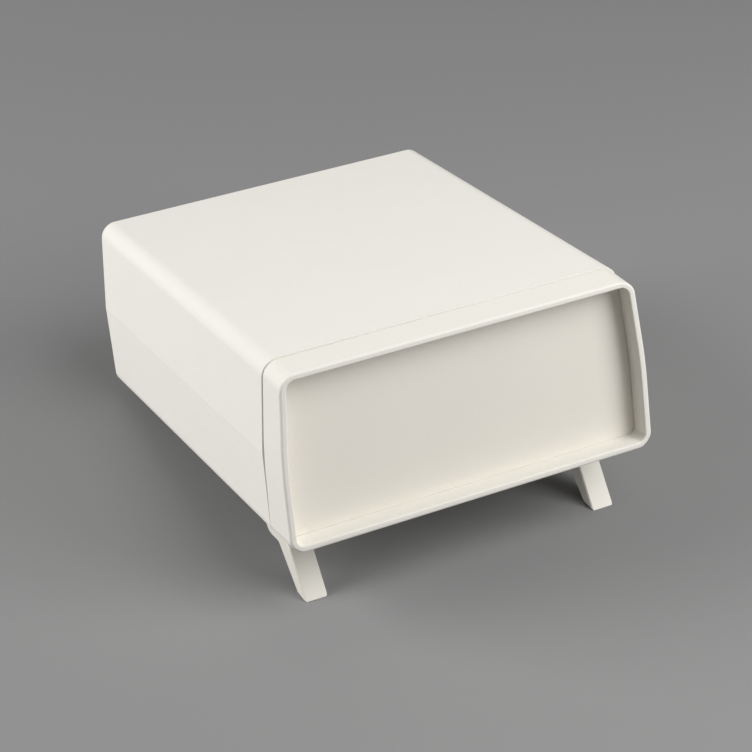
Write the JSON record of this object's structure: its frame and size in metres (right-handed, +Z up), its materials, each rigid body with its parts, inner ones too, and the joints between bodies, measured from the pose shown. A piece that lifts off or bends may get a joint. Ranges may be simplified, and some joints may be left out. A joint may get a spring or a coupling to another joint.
{
  "type": "instrument housing",
  "caption": "Moulded desktop instrument case with kinked, drafted side walls, a recessed front panel in a leaning bezel, and fold-out tilt legs.",
  "frame": {"origin": "centre of the footprint of the bounding box, on the ground plane, with both tilt legs open", "axes": "+X to the right seen from the front, +Y from the front to the rear, +Z up; the case leans back about X by the angle its open legs give it"},
  "size_m": [0.2, 0.2452, 0.131],
  "materials": {
    "shell": "fine moulded texture, off-white",
    "bezel": "fine moulded texture, off-white",
    "panel": "smooth satin, off-white",
    "leg": "satin, off-white",
    "rubber": "matt, dark grey",
    "steel": "zinc plated",
    "brass": "turned"
  },
  "bodies": {
    "case": {"top_shell": "shell", "bottom_shell": "shell", "front_bezel": "bezel", "front_panel": "panel", "rear_panel": "panel", "foot_bracket_left": "leg", "rear_foot_left": "rubber", "foot_bracket_right": "leg", "rear_foot_right": "rubber", "board_supports": "leg", "boss_inserts": "brass", "case_screws": "steel", "bracket_screws": "steel", "panel_screws": "steel"},
    "leg_left": {"tilt_leg_left": "leg", "leg_pin_left": "steel"},
    "leg_right": {"tilt_leg_right": "leg", "leg_pin_right": "steel"}
  },
  "joints": [
    {"name": "leg_left_fold", "type": "hinge", "parent": "case", "child": "leg_left", "pos_m": [-0.08135, -0.07102, 0.02373], "axis": [1, 0, 0], "range_deg": [0, 140]},
    {"name": "leg_right_fold", "type": "hinge", "parent": "case", "child": "leg_right", "pos_m": [0.08135, -0.07102, 0.02373], "axis": [1, 0, 0], "range_deg": [0, 140]}
  ]
}
